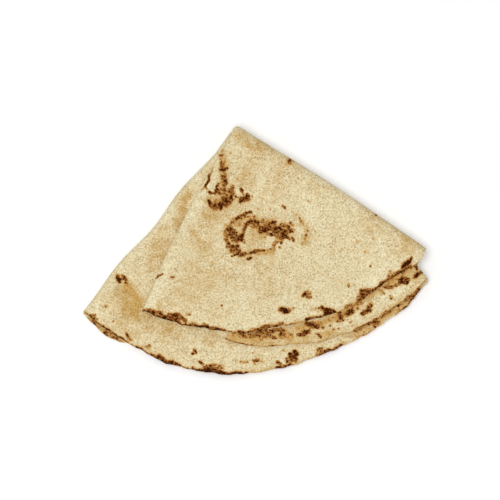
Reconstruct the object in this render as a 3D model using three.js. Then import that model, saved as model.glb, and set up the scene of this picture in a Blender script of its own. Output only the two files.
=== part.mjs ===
// Saj bread: one thin round flatbread, baked on a dome griddle, folded in half and then in half again.
//
// It lies flat as a wedge of four layers. The apex, where the two creases cross, points to +Y, and the round
// rim faces -Y. The second crease is the right edge, and the first crease is the left one. Counted up from the
// table the layers are bottom, third, second and top. The sheet is one piece, so the whole bread is one closed
// solid. Millimetres, +Z up. The origin is the centre of the bread's box, at the level of the table.
import * as THREE from "three";

const SHEET = 1.8; // thickness of the bread

// The creases' directions from the apex, in degrees from +X.
const SECOND_CREASE = -34;
const FIRST_CREASE = -128.8;
const GATHER = 0.96; // the top pair spans this share of the angle that the flat sheet gives it

// Each layer's reach from the apex, at even steps from the second crease round to the first.
const REACH = {
  third: [163, 163.5, 165, 164.5, 167, 163.5, 161.5],
  bottom: [151, 156, 160, 162, 164, 164, 161.5],
  top: [151, 146, 143, 140, 141, 138.5, 139],
  second: [163, 160, 158.5, 153, 148.5, 135.5, 139],
};

// The first fold is a small roll, and the second a larger one that takes both layers round it.
const FIRST_ROLL = 2.2; // radius at the middle of the sheet
const FIRST_SETTLE = 13; // how far from the roll the two layers close up again
const SECOND_ROLL = 3.4;
const SECOND_ROLL_AT_APEX = 1.2; // added where the first fold's roll lies inside the second
const APEX_REACH = 22;
const SECOND_SETTLE = 18;

// Towards the rim the inner layers' part of the second crease lies inside the outer layers' part.
const INNER_INSET = 14;
const INSET_STARTS = 90; // along the crease
const INSET_ENDS = 166;
const INSET_REACH = 40; // how far into the bread the layers are drawn in

// Free space between the layers, where they have closed up.
const PAIR_GAP = 0.5; // between the two layers of a pair
const MIDDLE_GAP = 0.6; // between the two pairs
const PAIR_PUFF = 0.9; // the most that a puffed-up place adds inside a pair
const MIDDLE_PUFF = 1.3; // and between the pairs
const RIM_PARTING = 0.8; // added at the rim, where the layers stand a little apart

// The puffed-up places come from long waves that cross the bread. Headings are in degrees from +X.
const SWELLS = [
  { length: 107, heading: 0 },
  { length: 110, heading: 65 },
  { length: 138, heading: 130 },
];
const PAIR_PHASE = 1.3;
const MIDDLE_PHASE = 4.1;

// The rim isn't pressed flat: every layer of it curls up together here and there.
const RIM_CURL = 2.2;
const CURL_STARTS = 116; // distance from the apex
const CURL_FULL = 162;
const CURL_TURNS = 3; // number of waves of it round a full turn
const CURL_PHASE = 0.4;

// The creases aren't quite straight, seen from above.
const SECOND_BOW = 2.6; // the second crease bulges outwards in the middle
const FIRST_WAVE = 1.1; // the lower pair's left edge is wavy
const FIRST_WAVE_LENGTH = 66;
const FIRST_WAVE_CREST = 54;
const TOP_BULGE = 1.4; // the top pair's left edge stands out, but not near the apex
const TOP_BULGE_STARTS = 30; // along the crease
const TOP_BULGE_FULL = 54;
const APEX_STRAIGHT = 24; // the waves grow over this length from the apex
const EDGE_EFFECT = 22; // how far into the bread these reach

// Mesh stations, measured out from each crease.
const FINE_STEP = 0.75;
const COARSE_STEP = 11;
const FINE_REACH = 25;
const NUDGE = 0.02; // step for measuring how the sheet leans

const radians = THREE.MathUtils.degToRad;
const lerp = THREE.MathUtils.lerp;
const smooth = THREE.MathUtils.smoothstep;
const bell = (distance, width) => Math.exp(-((distance / width) ** 2));

const unit = (degrees) => new THREE.Vector2(Math.cos(radians(degrees)), Math.sin(radians(degrees)));
const alongFirst = unit(FIRST_CREASE);
const overFirst = unit(FIRST_CREASE - 90); // from the half that stays down to the half that is folded over it
const alongSecond = unit(SECOND_CREASE);
const overSecond = unit(SECOND_CREASE + 90);

const REST_PART = SHEET + PAIR_GAP; // between the middles of the two layers of a pair
const PAIR_MIDDLE = SHEET / 2 + REST_PART / 2; // height of the lower pair's middle
const LOWER_SPAN = SECOND_CREASE - FIRST_CREASE;
const UPPER_SPAN = 180 - LOWER_SPAN;

// How puffed up a plan point is, between 0 and 1.
function swelling(plan, phase) {
  const waves = SWELLS.map((swell, i) =>
    Math.sin((2 * Math.PI * plan.dot(unit(swell.heading))) / swell.length + phase * (i + 1)),
  );
  return 0.5 + waves.reduce((sum, wave) => sum + wave) / (2 * SWELLS.length);
}

// The reach of a layer at a share of the way from the second crease to the first.
function reachOf(layer, share) {
  const radii = REACH[layer];
  const at = THREE.MathUtils.clamp(share, 0, 1) * (radii.length - 1);
  const i = Math.min(Math.floor(at), radii.length - 2);
  const t = at - i;
  const before = radii[Math.max(i - 1, 0)];
  const after = radii[Math.min(i + 2, radii.length - 1)];
  const rise = (radii[i + 1] - before) / 2;
  const fall = (after - radii[i]) / 2;
  const bend = 2 * (radii[i] - radii[i + 1]) + rise + fall;
  return radii[i] + t * (rise + t * (radii[i + 1] - radii[i] - rise - bend + t * bend));
}

// The open sheet's rim, at a bearing in degrees clockwise from the first crease's lower end. The four layers
// follow each other round it: third, second, top and bottom.
function rimAt(bearing) {
  const b = THREE.MathUtils.euclideanModulo(bearing, 360);
  if (b < LOWER_SPAN) return reachOf("third", 1 - b / LOWER_SPAN);
  if (b < 180) return reachOf("second", (b - LOWER_SPAN) / UPPER_SPAN);
  if (b < 180 + UPPER_SPAN) return reachOf("top", 1 - (b - 180) / UPPER_SPAN);
  return reachOf("bottom", (b - 180 - UPPER_SPAN) / LOWER_SPAN);
}

// Plan position of a point of the pair, along the first crease and over it: over is negative on the bread.
const planOf = (along, over) =>
  new THREE.Vector2().addScaledVector(alongFirst, along).addScaledVector(overFirst, over);

// How near the rim a plan point is: 0 well inside, 1 at the rim.
const nearRim = (plan) => smooth(plan.length(), CURL_STARTS, CURL_FULL);

// Distance between the middles of the two layers of a pair.
function pairParting(along, over) {
  const plan = planOf(along, over);
  const closed = REST_PART + PAIR_PUFF * swelling(plan, PAIR_PHASE) ** 2 + RIM_PARTING * nearRim(plan);
  const inside = Math.max(0, -over - FIRST_ROLL);
  return lerp(closed, 2 * FIRST_ROLL, bell(inside, FIRST_SETTLE));
}

const secondRoll = (s) => SECOND_ROLL + SECOND_ROLL_AT_APEX * bell(s, APEX_REACH);

// A sheet turned over a crease: it runs flat up to the roll, round it, and back again upside down.
// The roll takes up twice its radius of the sheet, so that beyond it the plan is a true mirror image.
function roll(beyond, radius) {
  if (beyond <= -radius) return { across: beyond, rise: 0, tilt: 0 };
  if (beyond >= radius) return { across: -beyond, rise: 2 * radius, tilt: Math.PI };
  const tilt = (Math.PI * (beyond + radius)) / (2 * radius);
  return { across: radius * (Math.sin(tilt) - 1), rise: radius * (1 - Math.cos(tilt)), tilt };
}

// First fold: a point of the flat sheet, `along` the crease and `beyond` it, in the folded pair.
function firstFold(along, beyond) {
  const turned = roll(beyond, FIRST_ROLL);
  const parting = pairParting(along, turned.across);
  const rise = turned.tilt === Math.PI ? parting : turned.rise;
  return { plan: planOf(along, turned.across), height: SHEET / 2 + rise, parting, inner: beyond > 0 };
}

// Second fold: the pair is turned over the second crease, each layer at its own offset from the pair's middle.
function secondFold(point) {
  const s = point.plan.dot(alongSecond);
  const beyond = point.plan.dot(overSecond);
  const radius = secondRoll(s);
  const turned = roll(beyond, radius);
  const offset = point.height - PAIR_MIDDLE;
  const across = turned.across - offset * Math.sin(turned.tilt);
  const plan = new THREE.Vector2().addScaledVector(alongSecond, s).addScaledVector(overSecond, across);
  let middle = PAIR_MIDDLE + turned.rise;
  if (turned.tilt === Math.PI) {
    const below = pairParting(plan.dot(alongFirst), plan.dot(overFirst));
    const gap = MIDDLE_GAP + MIDDLE_PUFF * swelling(plan, MIDDLE_PHASE) + RIM_PARTING * nearRim(plan);
    const closed = 2 * SHEET + gap + point.parting + below - 2 * PAIR_MIDDLE;
    middle = PAIR_MIDDLE + lerp(closed, 2 * radius, bell(-across - radius, SECOND_SETTLE));
  }
  const height = middle + offset * Math.cos(turned.tilt);
  return { plan, height, turned: turned.tilt / Math.PI, inner: point.inner };
}

// What the hand and the table do to the folded bread: the upper pair's angle is gathered, the edges bow,
// and the rim curls up a little. It moves every layer alike, so none meets another.
function settle(point) {
  const plan = point.plan.clone();
  const fromSecond = Math.atan2(-plan.dot(overSecond), plan.dot(alongSecond));
  plan.rotateAround(new THREE.Vector2(), fromSecond * (1 - GATHER) * point.turned);
  const s = plan.dot(alongSecond);
  const out = plan.dot(overSecond);
  const bow = SECOND_BOW * Math.sin(Math.PI * smooth(s, 0, REACH.top[0])) * bell(out, EDGE_EFFECT);
  const drawnIn = INNER_INSET * smooth(s, INSET_STARTS, INSET_ENDS) * bell(out, INSET_REACH);
  const lower = plan.dot(alongFirst);
  const wave = FIRST_WAVE * Math.cos((2 * Math.PI * (lower - FIRST_WAVE_CREST)) / FIRST_WAVE_LENGTH);
  const bulge = TOP_BULGE * smooth(lower, TOP_BULGE_STARTS, TOP_BULGE_FULL);
  const narrower = radians(LOWER_SPAN - UPPER_SPAN * GATHER) * point.turned;
  const fromEdge = plan.dot(overFirst) + plan.length() * Math.sin(narrower);
  const edge = bell(fromEdge, EDGE_EFFECT) * smooth(lower, 0, APEX_STRAIGHT);
  plan.addScaledVector(overSecond, point.inner ? bow - drawnIn : bow);
  plan.addScaledVector(overFirst, lerp(wave, bulge, point.turned) * edge);
  const crests = Math.max(0, Math.sin(CURL_TURNS * plan.angle() + CURL_PHASE));
  const curl = RIM_CURL * (nearRim(plan) * crests) ** 2;
  return new THREE.Vector3(plan.x, plan.y, point.height + curl);
}

const place = (along, beyond) => settle(secondFold(firstFold(along, beyond)));

// The point at the middle of the sheet's thickness, with the way that its upper face looks when still flat.
function middleAndFacing(flat) {
  const here = place(flat.x, flat.y);
  const forward = place(flat.x + NUDGE, flat.y).sub(place(flat.x - NUDGE, flat.y));
  const sideways = place(flat.x, flat.y + NUDGE).sub(place(flat.x, flat.y - NUDGE));
  return { here, facing: sideways.cross(forward).normalize() };
}

// Stations from -1 to 1, close together at the crease and wide apart at the rim.
function stations(half) {
  const side = [0];
  while (side.at(-1) < half) {
    const step = lerp(FINE_STEP, COARSE_STEP, Math.min(1, (side.at(-1) / FINE_REACH) ** 2));
    side.push(side.at(-1) + step);
  }
  const shares = side.slice(1).map((x) => x / side.at(-1));
  return [...shares.map((x) => -x).reverse(), 0, ...shares];
}

// A square of stations drawn out to the bread's round outline, its two middle lines lying on the creases.
function flatPoint(p, q) {
  const x = p * Math.sqrt(1 - (q * q) / 2);
  const y = q * Math.sqrt(1 - (p * p) / 2);
  const lean = (LOWER_SPAN - 90) * Math.abs(Math.sin(Math.atan2(y, x)));
  const bearing = THREE.MathUtils.radToDeg(Math.atan2(y, x)) + lean * Math.sign(y);
  const radius = Math.hypot(x, y) * rimAt(bearing);
  return new THREE.Vector2(radius * Math.cos(radians(bearing)), radius * Math.sin(radians(bearing)));
}

// The closed skin of the sheet: its two faces, and a rounded rim between them.
function breadGeometry() {
  const marks = stations(REACH.third[0]);
  const count = marks.length;
  const last = count - 1;
  const upper = [];
  const lower = [];
  for (const q of marks) {
    for (const p of marks) {
      const { here, facing } = middleAndFacing(flatPoint(p, q));
      upper.push(here.clone().addScaledVector(facing, SHEET / 2));
      lower.push(here.clone().addScaledVector(facing, -SHEET / 2));
    }
  }
  const around = [];
  for (let i = 0; i < last; i++) around.push(i);
  for (let j = 0; j < last; j++) around.push(j * count + last);
  for (let i = last; i > 0; i--) around.push(last * count + i);
  for (let j = last; j > 0; j--) around.push(j * count);
  const brim = around.map((k, n) => {
    const next = around[(n + 1) % around.length];
    const previous = around[(n + around.length - 1) % around.length];
    const run = upper[next].clone().sub(upper[previous]);
    const through = upper[k].clone().sub(lower[k]);
    const outwards = through.cross(run).normalize();
    return upper[k].clone().add(lower[k]).multiplyScalar(0.5).addScaledVector(outwards, SHEET / 2);
  });

  const points = [...upper, ...lower, ...brim];
  const faces = [];
  const quad = (a, b, c, d) => faces.push(a, b, c, a, c, d);
  for (let j = 0; j < last; j++) {
    for (let i = 0; i < last; i++) {
      const a = j * count + i;
      const [b, c, d] = [a + 1, a + count + 1, a + count];
      faces.push(a, c, b, a, d, c);
      const under = upper.length;
      quad(under + a, under + b, under + c, under + d);
    }
  }
  around.forEach((k, n) => {
    const m = (n + 1) % around.length;
    const [brimK, brimM] = [2 * upper.length + n, 2 * upper.length + m];
    quad(k, around[m], brimM, brimK);
    quad(brimK, brimM, upper.length + around[m], upper.length + k);
  });

  const geometry = new THREE.BufferGeometry().setFromPoints(points).setIndex(faces);
  geometry.computeBoundingBox();
  const box = geometry.boundingBox;
  geometry.translate(-(box.min.x + box.max.x) / 2, -(box.min.y + box.max.y) / 2, -box.min.z);
  geometry.computeVertexNormals();
  return geometry;
}

const crust = new THREE.MeshStandardMaterial({ color: 0xdccba1, roughness: 0.85, metalness: 0 });
const bread = new THREE.Mesh(breadGeometry(), crust);
bread.name = "saj_bread";

const group = new THREE.Group();
group.add(bread);

export default group;
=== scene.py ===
"""Saj bread, folded in half and in half again: a soft sheet of four layers with toasted marks.

The sheet starts round and flat and is folded as by hand. Sizes are in millimetres until they reach Blender.
The layers are counted up from the table: bottom, third, second and top. Plan positions are measured from the
apex, where the two creases cross: x to the right and y away from the viewer.
"""

import math

import bpy
import numpy as np
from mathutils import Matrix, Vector


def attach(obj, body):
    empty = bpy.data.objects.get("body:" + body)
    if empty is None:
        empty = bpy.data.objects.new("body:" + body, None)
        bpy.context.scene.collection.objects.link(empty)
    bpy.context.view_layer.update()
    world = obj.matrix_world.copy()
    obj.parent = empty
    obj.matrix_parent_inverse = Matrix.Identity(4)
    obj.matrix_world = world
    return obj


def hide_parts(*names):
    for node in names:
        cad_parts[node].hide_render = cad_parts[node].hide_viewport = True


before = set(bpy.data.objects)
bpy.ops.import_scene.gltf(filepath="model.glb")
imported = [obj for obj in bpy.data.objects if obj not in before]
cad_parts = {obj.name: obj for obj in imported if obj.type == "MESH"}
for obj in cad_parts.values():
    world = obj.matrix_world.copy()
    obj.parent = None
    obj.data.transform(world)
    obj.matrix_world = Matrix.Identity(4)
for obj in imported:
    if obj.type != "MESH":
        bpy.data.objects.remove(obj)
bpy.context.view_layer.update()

MM = 0.001

# The sheet
SHEET = 1.8  # thickness
ROUND = 163  # radius of the round sheet before its rim is made uneven
UNEVEN_FROM = 60  # how far from the middle that starts
ROWS = 138  # quads across the sheet
RINGS = 2  # rings of quads round them, so that the rim is evenly divided
RING_WIDTH = 1.7
CROWD_WIDTH = 11  # rows about this near to a crease are drawn in to it
CROWD_PULL = 3.2
MARKED = 0.3  # a quad with toasting deeper than this is cut finer
MARK_CUTS = 2

# The creases, in degrees from +X in plan
SECOND_CREASE = -34
FIRST_CREASE = -128.8
LOWER_SPAN = SECOND_CREASE - FIRST_CREASE
UPPER_SPAN = 180 - LOWER_SPAN
GATHER = 0.965  # share of its angle that the upper pair keeps

# The layers: is each one of the two inner ones, and is it in the upper pair
LAYERS = {"bottom": (False, False), "third": (True, False), "second": (True, True), "top": (False, True)}

# Each layer's reach from the apex, at even steps from the second crease round to the first
REACH = {
    "third": (164, 164.2, 164.6, 164.3, 164.4, 164.8, 166.4, 167.3, 167.2, 165.8, 162.9, 161, 159.6),
    "bottom": (151, 153.5, 156, 158, 160, 161, 162, 163, 164, 163.5, 161.7, 163.8, 161),
    "top": (151.5, 146, 143.7, 139.8, 140.9, 138.5, 139.9),
    "second": (163, 161.6, 160.4, 159.8, 158.7, 156.2, 153, 150.5, 147.3, 140.5, 134, 132.5, 139.8),
}

# The top layer's rim comes forward beside the second crease
LIP = 3.6
LIP_AT = 0.055  # share of the way to the first crease
LIP_WIDTH = 0.035

# Small bites and swellings of the rim: height, number round the sheet, phase, and how a slow wave shifts it
BITES = ((0.3, 23, 1, 0, 0), (0.25, 41, 0, 2.2, 5), (0.2, 83, 0.7, 0, 0), (0.18, 131, 0, 3, 7))

# Rolls of the two folds: the width of sheet that each takes up, and how far in the layers close up again
FIRST_ROLL = 6.9
FIRST_SETTLE = 13
SECOND_ROLL = 13.2
SECOND_SETTLE = 18
FOLD_STEPS = 32

# Free space between the layers, and how much long waves add to it
PAIR_GAP = 0.5
MIDDLE_GAP = 0.6
PAIR_PUFF = 0.9
MIDDLE_PUFF = 1.3
PAIR_PHASE = 1.3
MIDDLE_PHASE = 4.1
SWELLS = ((107, 0), (110, 65), (138, 130))  # length and heading of each wave

REST_PART = SHEET + PAIR_GAP
PAIR_MIDDLE = SHEET / 2 + REST_PART / 2

# What the hand and the table do to the folded bread
SECOND_CREST = 2.4  # a roll is shorter than the sheet round it, so its crest is brought back out
FIRST_CREST = 0.8
SECOND_BOW = 1.4  # the second crease bulges outwards in the middle
SECOND_BOW_ENDS = 151  # from the apex
FIRST_WAVE = 1.1  # the lower pair's left edge is wavy
FIRST_WAVE_LENGTH = 66
FIRST_WAVE_CREST = 54  # from the apex
APEX_STRAIGHT = 24  # the waves grow over this distance
TOP_BULGE = 1.4  # the upper pair's left edge stands out from a little below the apex
TOP_BULGES_OVER = (30, 54)
TIP_TUCK = 2.8  # and is drawn in again towards its tip
TIP_TUCKS_OVER = (85, 135)
EDGE_EFFECT = 22  # how far into the bread these reach
UPPER_HEIGHTS = (3, 8)  # between these the lower pair passes into the upper one
INNER_INSET = 15.5  # the inner layers' crease is drawn in near the rim
INSET_OVER = (110, 178)
INSET_REACH = 40
INNER_SQUASH = 0.8  # and pressed flatter there
SQUASH_HEIGHTS = (4, 8)
RIM_CURL = 0.7
CURL_OVER = (116, 162)
CURL_TURNS = 3  # crests in a full turn about the apex
CURL_PHASE = 0.4
RIM_DROP = 0.55  # the thinner rims lie down on the layer below
RIM_DROPS_OVER = 14
HANGS_OVER = 7  # where the top layer reaches past the second one, it comes down on the third
HANGS_BESIDE = 16  # beside the first crease it stays up
LAID_APART = 2  # between the middles of two layers that touch
RIM_ROUNDING = 0.35
RIM_TAPER = 9  # over this width the sheet gets thinner towards its rim
RIM_THINNED = 0.55  # share of its thickness that it has there
BLISTER_SIZE = 9
BLISTER_HEIGHT = 0.7


def smooth(x, low, high):
    t = np.clip((x - low) / (high - low), 0, 1)
    return t * t * (3 - 2 * t)


def bell(x, width):
    return np.exp(-((x / width) ** 2))


def turned(p, degrees):
    """Plan points turned about the apex."""
    c, s = np.cos(np.radians(degrees)), np.sin(np.radians(degrees))
    q = p.copy()
    q[:, 0] = c * p[:, 0] - s * p[:, 1]
    q[:, 1] = s * p[:, 0] + c * p[:, 1]
    return q


def polar(p):
    """Each plan point's distance from the apex, and its bearing in degrees."""
    return np.hypot(p[:, 0], p[:, 1]), np.degrees(np.arctan2(p[:, 1], p[:, 0]))


def read(items, kind, each=1, dtype=float):
    """Numbers of one kind from a list of Blender's, with this many for each item."""
    numbers = np.empty(len(items) * each, dtype)
    items.foreach_get(kind, numbers)
    return numbers


def points(obj):
    return read(obj.data.vertices, "co", 3).reshape(-1, 3) / MM


def set_points(obj, p):
    obj.data.vertices.foreach_set("co", (p * MM).ravel())
    obj.data.update()


def corner_numbers(obj, kind):
    """For each corner of each face, the number of its point or edge."""
    return read(obj.data.loops, kind, dtype=int)


def set_mode(mode):
    bpy.ops.object.mode_set(mode=mode)


def select_only(obj):
    bpy.ops.object.select_all(action="DESELECT")
    obj.select_set(True)
    bpy.context.view_layer.objects.active = obj


def choose(obj, kind, chosen):
    """Leaves the object in edit mode with just these of its points or faces selected."""
    set_mode("EDIT")
    bpy.ops.mesh.select_mode(type=kind)
    bpy.ops.mesh.select_all(action="DESELECT")
    set_mode("OBJECT")
    pieces = obj.data.vertices if kind == "VERT" else obj.data.polygons
    pieces.foreach_set("select", chosen)
    set_mode("EDIT")


def layer(name, inner, upper):
    """Which points lie in this layer of the folded bread."""
    is_inner, is_upper = LAYERS[name]
    return (inner == is_inner) & (upper == is_upper)


def reach(name, share):
    """A layer's reach at a share of the way from the second crease to the first."""
    radii = np.array(REACH[name], float)
    at = np.clip(share, 0, 1) * (len(radii) - 1)
    i = np.minimum(at.astype(int), len(radii) - 2)
    t = at - i
    slope = np.gradient(radii)
    a, b, m, n = radii[i], radii[i + 1], slope[i], slope[i + 1]
    return a + t * (m + t * (3 * (b - a) - 2 * m - n + t * (m + n - 2 * (b - a))))


def rim_radius(bearing):
    """The open sheet's reach. Bearing 0 is the first crease's upper end; the outer layers' are negative."""
    b = np.abs(bearing)
    inner = bearing > 0
    upper = b < UPPER_SPAN
    share = np.where(upper, (UPPER_SPAN - b) / UPPER_SPAN, (b - UPPER_SPAN) / LOWER_SPAN)
    r = np.zeros(len(b))
    for name in LAYERS:
        here = layer(name, inner, upper)
        r[here] = reach(name, share[here])
    here = layer("top", inner, upper)
    r[here] += LIP * bell(share[here] - LIP_AT, LIP_WIDTH)
    return r


def ragged_rim(bearing):
    """The open sheet's reach with its small uneven bites."""
    a = np.radians(bearing)
    bites = 0
    for height, number, phase, shift, slow in BITES:
        bites = bites + height * np.sin(number * a + phase + shift * np.sin(slow * a))
    return rim_radius(bearing) + bites


def rim_depths(flat):
    """Each flat point's distance to the sheet's rim."""
    away, bearing = polar(flat)
    return ragged_rim(bearing) - away


def crowd(x):
    """Draws rows of the mesh in towards x = 0, where a fold will need them."""
    return x - CROWD_PULL * (x / CROWD_WIDTH) * np.exp(0.5 - (x / CROWD_WIDTH) ** 2 / 2)


def grid_in_circle(radius):
    """A round flat sheet of quads."""
    bpy.ops.mesh.primitive_circle_add(vertices=4 * ROWS, radius=radius * MM, fill_type="NOTHING")
    sheet = bpy.context.object
    sheet.name = "folded_bread"
    set_mode("EDIT")
    bpy.ops.mesh.select_all(action="SELECT")
    bpy.ops.mesh.fill_grid(span=ROWS)
    set_mode("OBJECT")
    return sheet


def add_rings(radius):
    """Rings of quads round the sheet that was just filled."""
    set_mode("EDIT")
    bpy.ops.mesh.select_all(action="SELECT")
    bpy.ops.mesh.region_to_loop()
    for _ in range(RINGS):
        wider = (radius + RING_WIDTH) / radius
        bpy.ops.mesh.extrude_edges_move()
        bpy.ops.transform.resize(value=(wider, wider, 1), center_override=(0, 0, 0))
        radius += RING_WIDTH
    set_mode("OBJECT")


def make_sheet():
    """The open bread, with its first crease along X and the half to be folded over at +Y."""
    filled = ROUND - RINGS * RING_WIDTH
    sheet = grid_in_circle(filled)
    # the fill starts its rows at a corner of its own: turn them parallel to the crease
    used = np.bincount(corner_numbers(sheet, "vertex_index"))
    x, y = points(sheet)[used == 1][0, :2]
    turn = 45 - math.degrees(math.atan2(y, x)) % 90
    add_rings(filled)
    p = turned(points(sheet), turn)
    p[:, 0], p[:, 1] = crowd(p[:, 0]), crowd(p[:, 1])
    # the rows square to the first crease are leant over to lie along the second one
    away, bearing = polar(p)
    bearing -= (90 - UPPER_SPAN) * np.sin(np.radians(bearing))
    away *= 1 + smooth(away, UNEVEN_FROM, ROUND) * (ragged_rim(bearing) / ROUND - 1)
    p[:, 0] = away * np.cos(np.radians(bearing))
    p[:, 1] = away * np.sin(np.radians(bearing))
    set_points(sheet, p)
    return sheet


def fold_over(sheet, width, height):
    """Turns what lies beyond the X axis over it, round a roll that takes up this width of the sheet."""
    beyond = points(sheet)[:, 1]
    for k in reversed(range(FOLD_STEPS)):
        line = ((k + 0.5) / FOLD_STEPS - 0.5) * width
        choose(sheet, "VERT", beyond > line)
        bpy.ops.transform.rotate(
            value=-math.pi / FOLD_STEPS,
            orient_axis="X",
            center_override=(0, line * MM, height * MM),
        )
    set_mode("OBJECT")
    return beyond


def swelling(p, phase):
    """Long waves that cross each other, from 0 to 1."""
    total = 0
    for i, (length, heading) in enumerate(SWELLS):
        total = total + np.sin(2 * math.pi * turned(p, -heading)[:, 0] / length + phase * (i + 1))
    return 0.5 + total / (2 * len(SWELLS))


def pair_parting(p):
    """Distance between the middles of a pair's layers. In plan, the second crease lies along +X."""
    lower = turned(p, LOWER_SPAN)
    closed = REST_PART + PAIR_PUFF * swelling(turned(p, SECOND_CREASE), PAIR_PHASE) ** 2
    inside = np.maximum(0, lower[:, 1] - FIRST_ROLL / 2)
    full = 2 * FIRST_ROLL / math.pi
    return closed + (full - closed) * bell(inside, FIRST_SETTLE)


def fold_bread(sheet):
    """Both folds. Gives each point's layer as two yes-or-no arrays: inner and upper."""
    beyond = fold_over(sheet, FIRST_ROLL, 0)
    inner = beyond > 0
    p = turned(points(sheet), UPPER_SPAN)
    over = beyond > FIRST_ROLL / 2
    p[over, 2] = pair_parting(p)[over]
    p[:, 2] += SHEET / 2
    set_points(sheet, p)

    pair_height = p[:, 2]
    beyond = fold_over(sheet, SECOND_ROLL, PAIR_MIDDLE)
    upper = beyond > 0
    over = beyond > SECOND_ROLL / 2
    p = points(sheet)
    full = 2 * SECOND_ROLL / math.pi
    gap = MIDDLE_GAP + MIDDLE_PUFF * swelling(turned(p, SECOND_CREASE), MIDDLE_PHASE)
    mirrored = p * (1, -1, 1)
    closed = 2 * SHEET + gap + pair_parting(mirrored) + pair_parting(p) - 2 * PAIR_MIDDLE
    inside = np.maximum(0, -p[:, 1] - SECOND_ROLL / 2)
    middle = PAIR_MIDDLE + closed + (full - closed) * bell(inside, SECOND_SETTLE)
    p[over, 2] = (middle - (pair_height - PAIR_MIDDLE))[over]
    set_points(sheet, p)
    return inner, upper


def gathered(p, share):
    """Draws the upper pair's points together about the apex."""
    return turned(p, -polar(p)[1] * (1 - GATHER) * share)


def left_edge_bowed(q, share):
    """Waves the lower pair's left edge, and bulges the upper pair's."""
    lower = turned(q, LOWER_SPAN)
    along = lower[:, 0]
    wave = FIRST_WAVE * np.cos(2 * math.pi * (along - FIRST_WAVE_CREST) / FIRST_WAVE_LENGTH)
    bulge = TOP_BULGE * smooth(along, *TOP_BULGES_OVER) - TIP_TUCK * smooth(along, *TIP_TUCKS_OVER)
    narrower = math.sin(math.radians(LOWER_SPAN - UPPER_SPAN * GATHER))
    from_edge = lower[:, 1] - polar(q)[0] * narrower * share
    grown = smooth(along, 0, APEX_STRAIGHT)
    lower[:, 1] -= (FIRST_CREST + (wave + (bulge - wave) * share) * grown) * bell(from_edge, EDGE_EFFECT)
    return turned(lower, -LOWER_SPAN)


def hanging(p, inner, upper):
    """How far the top layer comes down where it reaches past the second one, from 0 to 1."""
    away, bearing = polar(p)
    hang = smooth(away - reach("second", -bearing / UPPER_SPAN), 0, HANGS_OVER) * (upper & ~inner)
    return hang * smooth(away * np.sin(np.radians(UPPER_SPAN + bearing)), 0, HANGS_BESIDE)


def settle(p, inner, upper, rim_depth):
    """Gathers the upper pair, bows the edges and settles the rims.

    Takes plan points with the second crease along +X, and gives them as they lie in the picture.
    """
    share = smooth(p[:, 2], *UPPER_HEIGHTS) * upper
    q = gathered(p, share)
    along, out = q[:, 0], q[:, 1]
    bow = SECOND_CREST + SECOND_BOW * np.sin(math.pi * smooth(along, 0, SECOND_BOW_ENDS))
    drawn_in = INNER_INSET * smooth(along, *INSET_OVER) * bell(out, INSET_REACH) * inner
    moved = bow * bell(out, EDGE_EFFECT) - drawn_in
    q = left_edge_bowed(q, share)
    q[:, 1] += moved
    q[:, 2] -= INNER_SQUASH * smooth(p[:, 2], *SQUASH_HEIGHTS) * drawn_in / INNER_INSET
    plan = turned(q, SECOND_CREASE)
    crests = np.maximum(0, np.sin(CURL_TURNS * np.arctan2(plan[:, 1], plan[:, 0]) + CURL_PHASE))
    near_rim = smooth(polar(plan)[0], *CURL_OVER)
    plan[:, 2] += RIM_CURL * (near_rim * crests) ** 2
    hang = hanging(p, inner, upper)
    laid = SHEET / 2 + pair_parting(p) + LAID_APART
    plan[:, 2] += hang * (laid - p[:, 2])
    plan[:, 2] -= RIM_DROP * (1 - smooth(rim_depth, 0, RIM_DROPS_OVER)) * (inner | upper) * (1 - hang)
    return plan


def fold_and_settle(sheet):
    rim_depth = rim_depths(points(sheet))
    inner, upper = fold_bread(sheet)
    set_points(sheet, settle(points(sheet), inner, upper, rim_depth))
    return inner, upper


def keep_numbers(sheet, name, numbers):
    """Keeps one number for each point under this name."""
    kept = sheet.data.attributes.new(name, "FLOAT", "POINT")
    kept.data.foreach_set("value", np.asarray(numbers, float))


def kept_numbers(sheet, name):
    return read(sheet.data.attributes[name].data, "value")


def normals(sheet):
    return read(sheet.data.vertices, "normal", 3).reshape(-1, 3)


def thin_towards_rim(sheet):
    """A vertex group that is full inside and empty at the rim."""
    group = sheet.vertex_groups.new(name="full")
    full = np.round(smooth(kept_numbers(sheet, "rim_depth"), 0, RIM_TAPER), 2)
    for weight in np.unique(full):
        group.add(np.flatnonzero(full == weight).tolist(), weight, "REPLACE")
    return group.name


def thicken(sheet):
    """Gives the sheet its two faces and a rounded rim."""
    select_only(sheet)
    count = len(sheet.data.vertices)
    rim_faces = np.count_nonzero(np.bincount(corner_numbers(sheet, "edge_index")) == 1)
    bpy.ops.object.modifier_add(type="SOLIDIFY")
    wall = sheet.modifiers[-1]
    wall.thickness = SHEET * MM
    wall.offset = 0
    wall.vertex_group = thin_towards_rim(sheet)
    wall.thickness_vertex_group = RIM_THINNED
    bpy.ops.object.modifier_apply(modifier=wall.name)
    sheet.vertex_groups.clear()
    keep_numbers(sheet, "outside", np.arange(len(sheet.data.vertices)) >= count)
    # the rim's faces come last in the list
    faces = len(sheet.data.polygons)
    choose(sheet, "FACE", np.arange(faces) >= faces - rim_faces)
    bpy.ops.mesh.region_to_loop()
    bpy.ops.mesh.bevel(offset=RIM_ROUNDING * MM, segments=2, affect="EDGES")
    set_mode("OBJECT")
    bpy.ops.object.shade_smooth()


def place(sheet):
    """Puts the middle of the bread's box over the origin, on the table."""
    p = points(sheet)
    low, high = p.min(0), p.max(0)
    p -= (*((low + high) / 2)[:2], low[2])
    set_points(sheet, p)


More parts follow.
